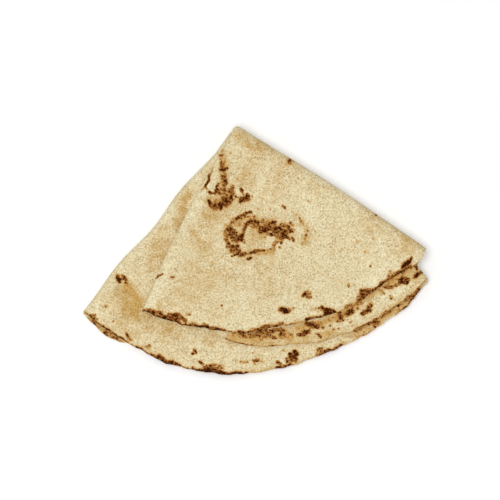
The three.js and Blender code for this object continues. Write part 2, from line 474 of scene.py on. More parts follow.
# The picture, in whose pixels the marks are measured
PIXEL = 0.66  # millimetres
PICTURE_ORIGIN = (255.5, 252)  # the pixel at the middle of the bread's box, on the table
PICTURE_SIDE = 500
CAMERA_RISE = 75  # degrees above the table
CAMERA_AWAY = 3  # metres


def in_picture(p):
    """Where points show in the picture: pixels across and down."""
    rise = math.radians(CAMERA_RISE)
    across = p[:, 0] / PIXEL + PICTURE_ORIGIN[0]
    down = PICTURE_ORIGIN[1] - (p[:, 1] * math.sin(rise) + p[:, 2] * math.cos(rise)) / PIXEL
    return np.stack([across, down], axis=1)


def distance(at, path):
    """How far picture points are from a line of picture points."""
    nearest = np.full(len(at), 1e9)
    ends = np.array(path if len(path) > 1 else path * 2, float)
    for a, b in zip(ends[:-1], ends[1:]):
        run = b - a
        t = np.clip(((at - a) @ run) / max(run @ run, 1e-9), 0, 1)
        nearest = np.minimum(nearest, np.hypot(*(at - a - t[:, None] * run).T))
    return nearest


# Toasted marks, and a few of painted shadow on the third layer: half width in pixels, how deep the toasting
# goes, and a path in the picture. Over 1 is burnt through.
TOP_MARKS = (
    # the streak below the apex
    (0.7, 0.75, (219, 155.5), (222, 155)), (0.8, 0.7, (222.5, 150)), (0.8, 0.8, (225, 161)),
    (3, 0.12, (222, 151), (223, 162)), (2, 0.6, (222, 163), (223, 168)), (1.3, 0.85, (221, 170), (227, 168)),
    (1.2, 0.6, (225, 172), (225, 177)), (1.5, 0.8, (222, 177), (225, 179)),
    (1.8, 0.5, (223, 181), (223, 187)), (1.2, 0.95, (226, 180), (226, 183), (224, 186)),
    (1.3, 0.9, (218, 184), (217, 188)), (1.4, 0.95, (215, 193), (217, 190), (219, 193)),
    (1.1, 1.05, (209, 192), (211, 193)), (0.8, 0.7, (207, 189)),
    # the cluster under it, and its crescent
    (1.8, 0.5, (222, 190), (223, 198)), (1.6, 0.7, (232, 186), (233, 189)),
    (1.8, 0.85, (230, 191), (233, 193), (231, 197)), (2.2, 0.45, (226, 191), (228, 199)),
    (1.3, 0.75, (236, 197)), (1.6, 0.95, (209, 201), (211, 205)),
    (1.8, 0.9, (212, 206), (216, 208), (221, 208)), (2.2, 0.7, (216, 203), (219, 204)),
    (2.2, 0.85, (221, 203), (226, 205)), (2, 0.9, (224, 199), (229, 201), (231, 199)),
    (1.2, 0.7, (228, 205), (231, 202)),
    # the patch to its right
    (1.2, 1.08, (241, 189), (242, 191)), (1, 0.7, (243, 194)), (1.1, 1.05, (247, 194), (249, 196)),
    (1.2, 1.08, (240, 202), (241, 199)), (1.7, 1.1, (241, 199), (246, 198), (248, 199)),
    (1.3, 1, (243, 201), (246, 200)), (0.9, 0.6, (252, 196)),
    # the crack on the left crease
    (0.9, 1, (207, 174), (209, 176), (209, 180)), (1, 1.08, (209, 180), (207, 183), (205, 187)),
    (0.6, 0.5, (213, 168), (211, 173), (210, 176)), (0.9, 0.5, (204, 188), (202, 190)),
    # the ring: its upper left
    (1.1, 1.12, (236, 219), (239, 217), (243, 215), (247, 213), (251, 212)),
    (1.5, 0.45, (231, 224), (234, 219)), (1.6, 0.5, (240, 219), (246, 217)),
    (2.6, 0.4, (235, 223), (243, 224)), (1.4, 0.4, (249, 217), (257, 217)),
    # its left side
    (2.4, 0.65, (229, 227), (230, 233)), (2, 0.5, (226, 231), (226, 238)),
    (1.6, 0.95, (231, 229), (232, 235)), (2.2, 0.75, (235, 232), (236, 238)),
    (1.6, 0.85, (232, 238), (236, 241)), (1.6, 0.85, (227, 241), (229, 245)),
    (1.8, 0.85, (238, 240), (240, 236)), (1.8, 0.6, (228, 247), (231, 251)),
    (1.5, 0.85, (233, 247), (238, 246)), (2, 0.85, (234, 250), (239, 251)),
    (1.4, 0.92, (249, 223), (246, 225), (244, 229), (243, 234), (241, 240)),
    (1.5, 0.6, (241, 240), (244, 242)),
    # its bottom
    (0.9, 0.75, (232, 256), (237, 254)), (1.8, 0.9, (240, 255), (245, 254)),
    (1.2, 1.1, (248, 259), (251, 258)), (1.3, 0.95, (250, 253), (255, 252)),
    (1, 0.8, (255, 250.5), (264, 250.5)), (2.2, 0.35, (258, 253), (271, 251)),
    (1.7, 0.6, (273, 249), (274, 245), (276, 242)), (1, 0.75, (279.5, 247.5)),
    # its top and right
    (1.7, 0.95, (249, 222), (254, 221), (258, 223)), (1.5, 0.55, (252, 226), (256, 227)),
    (1.6, 0.75, (259, 226), (262, 229)), (2.8, 1, (261, 231), (266, 229)), (2, 0.5, (263, 221), (266, 225)),
    (1.9, 0.9, (270, 223), (274, 223)), (2.6, 0.75, (269, 228), (273, 230)),
    (1.4, 0.5, (266, 234), (269, 234)), (1.4, 1.05, (271.5, 235)), (2.6, 0.95, (276, 229), (281, 231)),
    (2, 0.7, (275, 234), (278, 237)), (1.7, 0.75, (282, 225), (288, 226)),
    (2.4, 0.95, (284, 233), (282, 238)), (1.8, 0.75, (287, 231), (286, 236)),
    (1.5, 0.9, (289, 229), (292, 231)), (1.2, 1.05, (281, 243)), (1.2, 0.8, (287, 237), (290, 239)),
    (0.9, 0.85, (292, 238), (294, 241)), (1.2, 0.6, (291, 223), (293, 225)), (0.9, 0.7, (265, 237)),
    # the faint spots outside its right
    (0.8, 0.6, (296.5, 215)), (0.8, 0.8, (299.5, 218)), (1, 0.95, (301, 221)), (0.7, 0.7, (300.5, 223)),
    (0.7, 0.75, (303, 223.5)), (0.9, 0.8, (307.5, 231)), (1.2, 0.85, (306, 235.5)), (0.9, 0.7, (304.5, 239)),
    (0.6, 0.5, (309, 238)), (0.8, 0.6, (302, 244)), (0.6, 0.5, (297, 247)), (0.7, 0.6, (293, 249)),
    (0.7, 0.85, (290, 223)),
    # the brown ground that they share
    (4.5, 0.22, (229, 228), (230, 240), (236, 250)), (5.5, 0.18, (256, 224), (276, 226), (292, 234)),
    (5, 0.14, (224, 190), (226, 200), (216, 206)), (2.8, 0.24, (222, 158), (223, 180)),
    # the two round spots
    (1.6, 0.95, (303, 295), (305, 294)), (1.6, 0.65, (306, 292), (309, 293)),
    (1.5, 0.65, (307, 297), (310, 297)), (2.2, 1.12, (281, 309), (286, 310)),
    (1.5, 1.1, (284, 311.5), (288, 311)), (1.4, 0.5, (289, 309), (293, 308)),
    # small ones
    (1.1, 0.75, (283, 206), (285, 208)), (1.4, 0.75, (289, 160), (290, 162)),
    (2.4, 0.3, (287, 163), (293, 160)), (0.9, 0.6, (222, 305)), (0.9, 0.6, (231, 153)),
    (0.9, 1.05, (237.5, 179)), (1, 0.45, (373, 239)), (1.5, 0.4, (357, 242)), (1.6, 0.35, (365, 252)),
    (1, 0.75, (370, 266)), (1.1, 0.6, (348, 284), (348, 286)), (1, 0.75, (376, 215)),
    (0.9, 0.55, (308, 201)), (0.7, 0.6, (275, 213)), (0.9, 0.6, (270, 209)), (0.7, 0.6, (263, 199)),
    (0.8, 0.45, (267, 202)), (0.8, 0.5, (222, 257)), (0.8, 0.5, (232, 262)), (0.7, 0.5, (271, 269)),
    (0.9, 0.35, (318, 193)), (0.8, 0.5, (258, 209)), (1.2, 0.95, (156, 277), (158, 276)),
    (0.9, 0.7, (158, 276), (163, 274)), (0.9, 0.7, (172, 277), (174, 277)),
    # beside the rim
    (1.6, 0.95, (151, 310), (154, 312)), (1.5, 0.75, (155, 311.5), (161, 312)),
    (1.8, 0.9, (172, 315), (178, 314)), (1.7, 0.85, (180, 316), (183, 318), (186, 321)),
    (1.2, 0.5, (187, 314), (190, 314)), (1.2, 0.4, (191, 323), (195, 322)), (1, 0.7, (204, 323), (207, 325)),
    (1.2, 0.9, (321, 306.5), (324, 309)), (2.6, 1.15, (325, 310), (329, 311), (333, 312)),
    (1.8, 1.12, (326, 314), (331, 314)), (1.2, 0.95, (334, 313), (336, 313)),
    (1, 0.35, (311, 309), (317, 307)), (1.4, 0.35, (320, 307), (318, 311)),
    (1.3, 0.9, (360, 290), (362, 291)), (2.2, 1.08, (361, 295), (366, 297)),
    (2, 0.6, (363, 291), (368, 290)), (2.1, 1.14, (403, 266), (405, 264), (408, 261.5)),
    (0.8, 0.9, (410, 260), (411, 257)), (2, 0.9, (395, 277), (399, 273)), (1.5, 0.5, (388, 276), (390, 271)),
    (1.5, 0.75, (380, 284), (390, 281)),
)
SECOND_MARKS = (
    (1.8, 1.05, (400, 280), (403, 278), (407, 280)), (1.6, 1, (401, 282), (406, 283)),
    (1.4, 0.7, (395, 285), (399, 283)), (1.7, 0.95, (414, 276.5), (417, 274)),
    (1.3, 1, (417, 274), (421, 272)), (1.5, 0.9, (414, 262), (416, 262)),
    (1.6, 0.65, (415, 265), (416, 269)), (1.6, 0.4, (409, 267), (413, 266)),
    (1.4, 0.45, (390, 296), (391, 298)), (0.8, 1, (390, 298)), (1.3, 0.55, (381, 291), (383, 293)),
    (1.5, 0.85, (385, 287), (391, 287)), (2, 0.92, (362, 313), (366, 311), (370, 305)),
    (1.8, 0.85, (368, 307), (369, 310)), (1.2, 0.75, (357, 308)), (1.5, 0.4, (355, 304), (361, 303)),
    (2.4, 1, (347, 313), (351, 311)), (2, 0.8, (339, 313), (341, 317)), (1.5, 0.55, (337, 320), (340, 320)),
    (0.9, 0.75, (329.5, 325.5)), (1, 0.85, (333, 329)), (0.9, 0.6, (322, 328)),
    (1.2, 0.95, (318, 334), (320, 336)), (0.7, 0.5, (315, 333)), (0.7, 0.7, (329, 334)),
    (1.6, 0.9, (313, 326), (317, 327)), (1.8, 0.6, (309, 324), (320, 325)),
    (1.7, 0.9, (298, 334), (303, 334)), (2, 1.12, (304, 332), (308, 331)),
    (1.6, 1.05, (306, 323), (311, 323)), (1.3, 0.9, (281, 331), (284, 330)),
    (1.3, 0.95, (281, 334), (284, 334)), (0.9, 0.7, (281, 337)), (1.3, 0.7, (270, 335), (274, 337)),
    (0.8, 0.5, (276, 338)), (1.3, 0.45, (262, 336), (266, 335)), (1.6, 0.5, (250, 335), (259, 336)),
    (1, 0.6, (246, 337)), (1.5, 0.5, (240, 333), (244, 335)), (0.9, 0.7, (261, 339)),
    (0.9, 0.45, (228, 335)), (1.3, 0.4, (232, 331), (236, 332)), (3.4, 0.34, (236, 334), (290, 335)),
    (1.6, 0.72, (257, 332.5), (264, 331.5), (275, 329.5), (282, 328.5)),
    (2.6, 0.3, (298, 328), (322, 322), (342, 314)), (3.5, 0.3, (402, 271), (414, 260)),
    (2.2, 0.3, (346, 309), (360, 301), (374, 293)), (3.2, 0.34, (378, 287), (395, 277), (411, 265)),
    (1.1, 0.9, (266, 328)), (0.9, 0.8, (291, 334)), (0.9, 0.8, (323, 327)), (0.9, 0.75, (338, 328)),
    (0.8, 0.7, (315, 326)), (0.8, 0.6, (343, 320)), (0.8, 0.5, (349, 322), (351, 321)),
)
THIRD_MARKS = (
    (1.9, 1, (118, 277), (120, 281)), (1.4, 0.92, (123, 276), (125, 277), (127, 281)),
    (1.2, 0.9, (123, 279)), (1.3, 0.5, (126, 282), (128, 285)), (1.1, 0.65, (106, 306), (108, 306)),
    (0.9, 0.75, (114, 321)), (1, 0.9, (127, 333), (129, 336)), (1.1, 0.6, (129, 338), (132, 339)),
    (1.2, 0.9, (195, 349), (196, 352), (193, 353)), (1.2, 0.75, (150, 345)),
    (1.5, 0.4, (146, 346), (150, 348)), (0.6, 0.3, (137, 333)), (1.2, 0.8, (200, 361), (203, 363)),
    (1, 0.6, (241, 361), (244, 361)), (1.1, 0.8, (247, 361)), (1.4, 0.85, (254, 360), (258, 359)),
    (0.9, 0.6, (255, 363)), (1.4, 0.35, (262, 361)), (0.8, 0.4, (282, 349), (284, 350)),
    (0.7, 0.6, (253, 352)), (1.3, 0.85, (277, 361), (280, 363)), (1.2, 0.8, (286, 358), (287, 361)),
    (1.6, 1.08, (294, 351), (295, 351)), (2.4, 1.12, (291, 355), (295, 358)),
    (1.2, 0.9, (289.5, 353), (290.5, 359)), (2, 1.12, (292, 359), (296, 353)),
    (1.3, 0.8, (317, 349), (321, 348)), (1.6, 0.7, (320, 351), (326, 350)), (1.1, 0.7, (92, 315), (96, 315)),
    (1.1, 0.55, (93, 318), (98, 319)), (1.4, 0.8, (160, 355), (163, 357)),
    (1.2, 0.7, (174, 362), (177, 363)), (2, 0.6, (207, 366), (214, 365), (222, 366)),
    (1.2, 0.9, (211, 365), (213, 366)), (2.2, 0.75, (370, 320), (377, 323)), (0.9, 0.95, (374, 326)),
    # from (354, 331) on: painted shadow of the second layer's rim, on the strip below it
    (1, 1, (397.5, 305.5)), (1.2, 0.95, (410, 296), (413, 297)), (1, 0.4, (354, 331), (368, 324)),
    (1.4, 0.5, (381, 317), (392, 309)), (1.8, 0.35, (403, 302), (420, 288)),
    (4, 0.22, (356, 334), (420, 291)),
)
BOTTOM_MARKS = (
    (1.4, 0.5, (94, 321), (101, 326)), (1.6, 0.55, (108, 330), (114, 336)),
    (1.2, 0.5, (118, 338), (122, 341)),
)
UNDER_MARKS = (
    # a scorched patch near the middle
    (2.6, 0.9, (262, 236), (270, 231)), (2.2, 0.75, (274, 236), (282, 234), (287, 239)),
    (1.8, 0.8, (258, 246), (263, 251)), (3, 1, (270, 246), (277, 249)), (1.6, 0.7, (286, 247)),
    (1.3, 0.85, (292, 241), (296, 246)), (1.6, 0.6, (268, 256), (279, 260)), (10, 0.2, (276, 243)),
    # smaller ones round it
    (2.4, 0.9, (196, 218), (201, 224)), (1.4, 0.7, (205, 219)), (1.6, 0.8, (199, 230), (207, 233)),
    (1, 0.6, (212, 226)), (7, 0.2, (203, 226)), (2.4, 0.95, (330, 262), (337, 259)),
    (1.6, 0.75, (341, 265), (345, 271)), (1.2, 0.8, (333, 271)), (1, 0.6, (326, 254)),
    (2.2, 0.9, (157, 284), (163, 290)), (1.2, 0.7, (168, 283)), (1.4, 0.6, (152, 294)),
    (2.6, 0.95, (222, 306), (231, 310)), (1.6, 0.7, (236, 303)), (1.3, 0.8, (219, 315), (223, 318)),
    (2.2, 0.85, (296, 312), (303, 308)), (1.4, 0.7, (308, 315)), (1.8, 0.9, (375, 262), (380, 268)),
    (1.1, 0.6, (385, 259)), (1.6, 0.7, (246, 178), (250, 185)), (1, 0.8, (256, 181)),
    (1.5, 0.75, (300, 206), (305, 211)), (1.5, 0.8, (128, 303), (133, 300)), (1.6, 0.85, (182, 322)),
    (1.6, 0.8, (262, 340), (270, 342)), (1.8, 0.8, (347, 303), (352, 299)), (1, 0.6, (312, 233)),
    (1.2, 0.55, (240, 268)), (1, 0.6, (186, 262)), (0.9, 0.6, (232, 214)),
)

# Burnt stretches of the rims, on the second also painted contact shade: from and to in the picture, how deep
# they reach in, in pixels, and how toasted
TOP_RIM = (
    (142, 148, 1.8, 0.75), (147, 155, 3, 1), (155, 162, 2.2, 0.95), (160, 172, 4.5, 1),
    (162, 180, 2.6, 1.12), (168, 181, 6.5, 0.95), (179, 189, 1.4, 0.95), (189, 194, 2.2, 1.05),
    (193, 226, 2, 1.15), (207, 219, 3, 0.8), (226, 237, 1, 0.5), (237, 246, 2.2, 1.05), (246, 252, 1.5, 1),
    (250, 262, 3.5, 0.75), (258, 270, 4, 0.85), (270, 284, 3, 0.8), (284, 300, 1.2, 0.6),
    (300, 304, 1, 0.75), (304, 313, 2.6, 1.1), (313, 321, 1.8, 1), (320, 330, 1.6, 0.85),
    (344, 352, 3.5, 0.7), (352, 357, 1.5, 0.5), (356, 367, 6, 0.75), (366, 380, 2.6, 0.8),
    (380, 392, 2.6, 0.65), (390, 402, 3.6, 0.68), (401, 411, 2.6, 0.85),
)
# on the second layer's rim: toasting, and a painted contact shade along its edge
SECOND_RIM = (
    (225, 240, 0.9, 0.75), (240, 254, 1, 0.75), (254, 270, 0.6, 0.35), (268, 278, 1, 0.7),
    (278, 350, 0.6, 0.25), (352, 372, 1.2, 0.75), (372, 386, 1.8, 0.6), (386, 420, 0.8, 0.45),
)
THIRD_RIM = (
    (82, 88, 0.8, 0.6), (88, 103, 1, 1), (103, 112, 1.6, 1.1), (112, 128, 1.1, 1.05), (128, 136, 0.7, 0.6),
    (136, 143, 1.8, 1), (143, 152, 1.1, 0.95), (151, 160, 2.4, 1), (158, 175, 4.2, 1.05),
    (174, 182, 2.4, 0.9), (182, 193, 0.8, 0.75), (192, 204, 2.4, 0.95), (203, 224, 4.6, 1.05),
    (223, 243, 2.4, 1.1), (199, 243, 1.2, 1.2), (243, 249, 1.4, 0.95), (249, 275, 0.6, 0.25),
    (275, 291, 2.2, 0.95), (291, 315, 0.6, 0.25), (315, 330, 2.5, 0.75), (326, 342, 2.2, 0.95),
    (342, 362, 0.6, 0.2), (362, 376, 1, 0.4), (395, 403, 1.2, 0.6), (403, 420, 1.5, 0.8),
)
BOTTOM_RIM = (
    (92, 97, 3, 0.65), (98, 103, 2, 0.35), (104, 109, 3, 0.85), (111, 118, 2.4, 0.6), (150, 176, 3, 0.8),
    (204, 238, 2.5, 0.9), (262, 292, 2.2, 0.7), (318, 340, 3, 0.9), (366, 384, 2.4, 0.8), (402, 416, 2, 0.6),
)
RIMS = {"top": TOP_RIM, "second": SECOND_RIM, "third": THIRD_RIM, "bottom": BOTTOM_RIM}

# Places baked to a soft ochre, and places of painted shade: half width, how strong it is, and a path. Below
# 0 is paler, a painted highlight.
TOP_OCHRE_AND_LIGHT = (
    (22, 0.25, (180, 294)), (22, 0.2, (268, 182)), (14, 0.34, (404, 246)), (28, 0.2, (255, 278)),
    (8, 0.14, (262, 152), (330, 192), (410, 243)), (16, 0.15, (186, 292)), (12, 0.15, (372, 228)),
    (16, 0.32, (216, 217), (205, 245), (210, 272)), (7, 0.3, (247, 150), (243, 182)), (11, 0.5, (256, 238)),
    (11, 0.3, (221, 317)), (8, 0.3, (238, 205), (240, 230)), (8, 0.3, (161, 305)), (10, 0.14, (313, 186)),
    (14, 0.08, (340, 240)),
    # paler: a painted highlight along the left crease
    (6, -0.5, (214, 158), (208, 178), (196, 203), (178, 240), (164, 268), (151, 300)),
    (7, 0.35, (222, 158), (223, 175), (224, 195)), (6, 0.35, (212, 203), (228, 204)),
    (6, 0.3, (203, 196), (212, 197)), (6, 0.45, (258, 147), (268, 145)),
    (5, 0.2, (262, 142), (254, 160), (250, 176)), (6, 0.3, (288, 160)),
    (6, 0.3, (228, 235), (232, 250), (245, 255)), (6, 0.3, (256, 222), (275, 222), (290, 228)),
    (4, 0.5, (300, 218), (307, 230), (305, 242)), (4, 0.4, (256, 254), (272, 252)),
    # the first of these: painted shade in the small crease near the left edge, which is also dented
    (2.5, 0.5, (188, 226), (199, 241)), (5, 0.25, (197, 215), (215, 213)),
    # the first of these: toasting along the right crease, and painted shade where it turns away from the
    # light
    (6, 0.15, (375, 212), (400, 230), (420, 247)), (6, 0.5, (240, 135), (248, 140)),
)
SECOND_OCHRE_AND_SHADE = (
    # these two hug the top layer's rim: the strip's own ochre, and painted shade under that rim
    (4.5, 0.5, (228, 334), (246, 337), (265, 333), (288, 329), (305, 325), (324, 321), (345, 312)),
    (4, 0.4, (345, 312), (357, 305), (380, 290), (402, 272)),
    (4, 0.42, (230, 340), (262, 342), (300, 339), (330, 332)),
    (2.5, 0.2, (330, 335), (370, 318), (400, 297), (424, 276)), (7, 0.45, (396, 277), (412, 266)),
    (5, 0.3, (415, 278), (425, 282)),
)
THIRD_OCHRE_AND_LIGHT = (
    # the second of these: painted shade along the valley on the left, which is also dented
    (20, 0.25, (132, 327)), (2.8, 0.5, (128, 283), (133, 291), (139, 301)),
    # painted shade on the third layer under the top layer's rim
    (9, 0.28, (144, 315), (174, 325), (210, 333), (228, 338)),
    # paler: a painted highlight along the third layer's left edge
    (5, -0.35, (222, 146), (190, 180), (160, 216), (130, 253), (90, 304)),
    # painted shade along the valley beside the top flap's left crease
    (4.5, 0.52, (184, 197), (182, 210), (179, 224)), (4, 0.3, (186, 190), (190, 195)),
    # the last of these: painted shade along the same valley
    (9, 0.3, (155, 240), (158, 255)), (5, 0.3, (168, 240)), (8, 0.46, (128, 290), (132, 308)),
    (10, 0.25, (122, 300), (140, 306)), (4, 0.3, (150, 266), (158, 268)), (4, 0.25, (165, 228), (176, 226)),
    # painted shade on the strip under the second layer's rim, and under the top layer's rim
    (6, 0.45, (424, 284), (400, 306), (380, 318), (352, 333)), (9, 0.15, (150, 318), (170, 325)),
)
BOTTOM_TANS = (
    (8, 0.5, (88, 316), (105, 327), (125, 341)),
)

# Places crowded with small brown pits, one of them painted shade: half width, how crowded, and a path
TOP_PITS = (
    (11, 0.95, (322, 232), (334, 240), (344, 238)), (14, 0.6, (330, 262), (318, 292), (300, 318)),
    (8, 0.55, (262, 150), (272, 160), (290, 172)), (6, 0.8, (236, 176), (240, 184)),
    (7, 0.5, (200, 205), (225, 215)), (8, 0.55, (292, 240), (300, 252)), (6, 0.6, (262, 206), (272, 214)),
    (12, 0.35, (214, 290), (250, 305)), (6, 0.5, (388, 262), (396, 268)),
)
SECOND_PITS = (
    (7, 1, (360, 303), (380, 291), (412, 268)), (5, 0.5, (375, 293), (385, 300)),
    (5, 0.6, (230, 333), (300, 331)), (4, 0.7, (322, 322), (345, 320)),
)
THIRD_PITS_AND_SHADE = (
    (8, 0.6, (100, 312), (120, 330), (145, 342)), (7, 0.5, (150, 345), (185, 358)),
    (7, 0.7, (250, 358), (300, 357)), (8, 0.5, (150, 322), (190, 336)), (8, 0.4, (168, 240), (150, 262)),
    # the last of these: pits that are painted shade on the strip under the second layer's rim
    (3, 0.8, (210, 366), (246, 368)), (5, 1, (424, 286), (400, 308), (380, 320), (352, 335)),
)

# Dents (-) and ridges (+) of single layers: half width, height in mm, and a path in the picture
DENTS = (
    ("third", 5.5, -0.7, (121, 280), (127, 295), (133, 311)), ("third", 8, 0.35, (108, 290), (116, 308)),
    ("third", 5, 0.25, (141, 290), (145, 306)), ("third", 5, -0.45, (184, 196), (181, 212), (178, 226)),
    ("top", 3.5, -0.4, (188, 226), (199, 241)), ("top", 2.6, 0.22, (196, 297), (201, 324)),
    ("top", 2.6, 0.2, (206, 295), (211, 326)), ("top", 3, 0.22, (219, 300), (222, 328)),
    ("top", 3.5, 0.2, (164, 290), (170, 312)),
    ("top", 6, 0.35, (212, 172), (196, 203), (178, 238), (156, 284)),
)

# How the marks are laid on
RIM_OCHRE = 0.35
RIM_TAN = 4  # millimetres that the rim's ochre reaches in
THIRD_TONE = 0.1  # the whole layer is a little more ochre
MARK_SPREAD = 0.35  # pixels that a toasted mark is wider than its measured dark part
MARK_SOFT = 0.5  # share of its width over which it fades
HALO = 0.55  # how toasted its brown edge is, as a share of its own strength
RIM_HALO = 0.36
HALO_STARTS = -1  # pixels from the mark's outline
HALO_REACH = 3  # it ends this many pixels from it
HALO_WIDTHS = 1.6  # or this many half widths, where that is less
RIM_ENDS = 1.5  # pixels over which a stretch of the rim begins and ends
RIM_CORE = 0.6  # share of its depth that is toasted evenly
RIM_FADES = (1.3, 0.5)  # it ends at this many times its depth, plus pixels
FACING_BLEND = 0.3  # steeper faces mix the marks of the upper and lower side


def deeper(density, added):
    """Adds to a density what takes its share of the part still pale.

    Where either is over 1, which is burnt through, the greater one stays.
    """
    joined = 1 - (1 - density) * (1 - added)
    greater = np.maximum(density, added)
    return np.where(greater < 1, joined, greater)


def layered(density, marks, at, soft=1, spread=0, halo=0):
    for width, strength, *path in marks:
        away = distance(at, path)
        taken = 1 - smooth(away / (width + spread), 1 - soft, 1 + soft)
        edge = min(HALO_REACH, HALO_WIDTHS * width)
        taken = np.maximum(taken, halo * (1 - smooth(away - width, HALO_STARTS, edge)))
        density = deeper(density, strength * taken)
    return density


def toasted(marks, at):
    return layered(np.zeros(len(at)), marks, at, MARK_SOFT, MARK_SPREAD, HALO)


def burnt_and_shaded_rim(density, stretches, at, rim_depth):
    inward = rim_depth / PIXEL
    across = at[:, 0]
    for start, end, depth, strength in stretches:
        begun, ended = (smooth(across, x - RIM_ENDS, x + RIM_ENDS) for x in (start, end))
        taken = 1 - smooth(inward, depth * RIM_CORE, depth * RIM_FADES[0] + RIM_FADES[1])
        taken = np.maximum(taken, RIM_HALO * (1 - smooth(inward - depth, HALO_STARTS, HALO_REACH)))
        density = deeper(density, strength * begun * (1 - ended) * taken)
    return density


def bake(p, facing, outside, inner, upper, rim_depth):
    """How toasted, how ochre and how pitted each point is, painted shade and highlights included, from the
    marks of the face that it lies on.
    """
    at = in_picture(p)
    up = smooth(facing, -FACING_BLEND, FACING_BLEND)
    shown = np.where(outside, up, 1)
    third = outside & ~upper
    char_and_shade, ochre_and_painted_light, pitted_and_shade = np.zeros((3, len(p)))
    for here, marks, ochres_and_painted_light, pits_and_shade, tone in (
        (outside & upper, TOP_MARKS, TOP_OCHRE_AND_LIGHT, TOP_PITS, 0),
        (~outside & upper & inner, SECOND_MARKS, SECOND_OCHRE_AND_SHADE, SECOND_PITS, 0),
        (third, THIRD_MARKS, THIRD_OCHRE_AND_LIGHT, THIRD_PITS_AND_SHADE, THIRD_TONE),
        (~outside & ~upper & ~inner, BOTTOM_MARKS, BOTTOM_TANS, (), 0),
    ):
        char_and_shade[here] = toasted(marks, at[here]) * shown[here]
        ochre_and_painted_light[here] = layered(ochre_and_painted_light[here] + tone, ochres_and_painted_light, at[here]) * shown[here]
        pitted_and_shade[here] = layered(pitted_and_shade[here], pits_and_shade, at[here])
    # the same face goes on round the first crease as the underside
    under = toasted(UNDER_MARKS, at[third]) * (1 - up[third])
    char_and_shade[third] = np.maximum(char_and_shade[third], under)
    for name, stretches in RIMS.items():
        here = layer(name, inner, upper)
        char_and_shade[here] = burnt_and_shaded_rim(char_and_shade[here], stretches, at[here], rim_depth[here])
    ochre_and_painted_light = np.maximum(ochre_and_painted_light, RIM_OCHRE * (1 - smooth(rim_depth, 0, RIM_TAN)))
    return char_and_shade, ochre_and_painted_light, pitted_and_shade


def press_dents(sheet, inner, upper):
    p = points(sheet)
    at = in_picture(p)
    for name, width, height, *path in DENTS:
        here = layer(name, inner, upper)
        p[here, 2] += height * bell(distance(at[here], path), width)
    set_points(sheet, p)


def raise_blisters(sheet):
    """The gentle unevenness that baking leaves."""
    lumps = bpy.data.textures.new("blisters", "CLOUDS")
    lumps.noise_scale = BLISTER_SIZE * MM
    lumps.noise_depth = 1
    select_only(sheet)
    bpy.ops.object.modifier_add(type="DISPLACE")
    uneven = sheet.modifiers[-1]
    uneven.texture = lumps
    uneven.texture_coords = "LOCAL"
    uneven.direction = "Z"
    uneven.strength = BLISTER_HEIGHT * MM
    bpy.ops.object.modifier_apply(modifier=uneven.name)


def marked_quads(sheet, rim_depth, inner, upper):
    """Which quads carry a mark at a corner, halfway along an edge or in the middle."""
    quads = corner_numbers(sheet, "vertex_index").reshape(-1, 4)
    known = np.column_stack([points(sheet), rim_depth, inner, upper])[quads]
    marked = np.zeros(len(quads), bool)
    corners = np.eye(4)
    halfway = (corners + np.roll(corners, 1, axis=0)) / 2
    for share in (*corners, *halfway, corners.mean(axis=0)):
        sample = np.einsum("k,qkd->qd", share, known)
        p, depth = sample[:, :3], sample[:, 3]
        is_inner, is_upper = sample[:, 4] > 0.5, sample[:, 5] > 0.5
        for way, outside in ((1, is_inner != is_upper), (-1, ~is_inner & ~is_upper)):
            facing = np.full(len(quads), way)
            marked |= bake(p, facing, outside, is_inner, is_upper, depth)[0] > MARKED
    return marked


def refine_marks(sheet):
    """Folds the sheet once to see where its marks fall, and cuts those quads finer."""
    flat = points(sheet)
    inner, upper = fold_and_settle(sheet)
    place(sheet)
    marked = marked_quads(sheet, rim_depths(flat), inner, upper)
    set_points(sheet, flat)
    choose(sheet, "FACE", marked)
    bpy.ops.mesh.subdivide(number_cuts=MARK_CUTS)
    set_mode("OBJECT")


def paint(sheet):
    """Turns what was kept of each point into how toasted, ochre and pitted it is, painted shade and
    highlights included.
    """
    outside, inner, upper = (kept_numbers(sheet, name) > 0.5 for name in ("outside", "inner", "upper"))
    rim_depth = kept_numbers(sheet, "rim_depth")
    baked = bake(points(sheet), normals(sheet)[:, 2], outside, inner, upper, rim_depth)
    for name in ("outside", "inner", "upper", "rim_depth"):
        sheet.data.attributes.remove(sheet.data.attributes[name])
    for name, numbers in zip(("char_and_shade", "ochre_and_painted_light", "pitted_and_shade"), baked):
        keep_numbers(sheet, name, numbers)


def make_bread():
    sheet = make_sheet()
    refine_marks(sheet)
    keep_numbers(sheet, "rim_depth", rim_depths(points(sheet)))
    inner, upper = fold_and_settle(sheet)
    place(sheet)
    press_dents(sheet, inner, upper)
    raise_blisters(sheet)
    keep_numbers(sheet, "inner", inner)
    keep_numbers(sheet, "upper", upper)
    thicken(sheet)
    place(sheet)
    paint(sheet)
    return sheet


def linear(red, green, blue):
    """A colour from its everyday 0 to 255 values."""
    parts = []
    for part in (red, green, blue):
        part /= 255
        parts.append(part / 12.92 if part <= 0.04045 else ((part + 0.055) / 1.055) ** 2.4)
    return (*parts, 1)


# Colours of the crust
CREAM = linear(236, 227, 192)
OCHRE = linear(196, 156, 86)
SPECK = linear(186, 152, 92)
GREY_GRAIN = (0.59, 0.56, 0.42, 1)  # multiplies what is under it
FLOUR = linear(249, 238, 199)
PIT_AND_SHADE = linear(132, 96, 46)
TOAST_EDGE = linear(206, 160, 88)
TOAST = linear(142, 88, 36)
BURNT = linear(78, 26, 0)
BURNT_THROUGH = linear(54, 19, 2)

# Millimetres across the lumps of its noises
BROAD = 22
CROWDS = 13
PATCH = 6
MOTTLE = 3.2
FINE = 1.7
PITS = 1.6
WANDER = 1.2
GRAIN = 1.1
BLISTERS = ((2.1, 1), (1.3, 0.72))  # and the share of the growth that each size has
WANDER_FAR = (0.7, 0.7, 0.7)


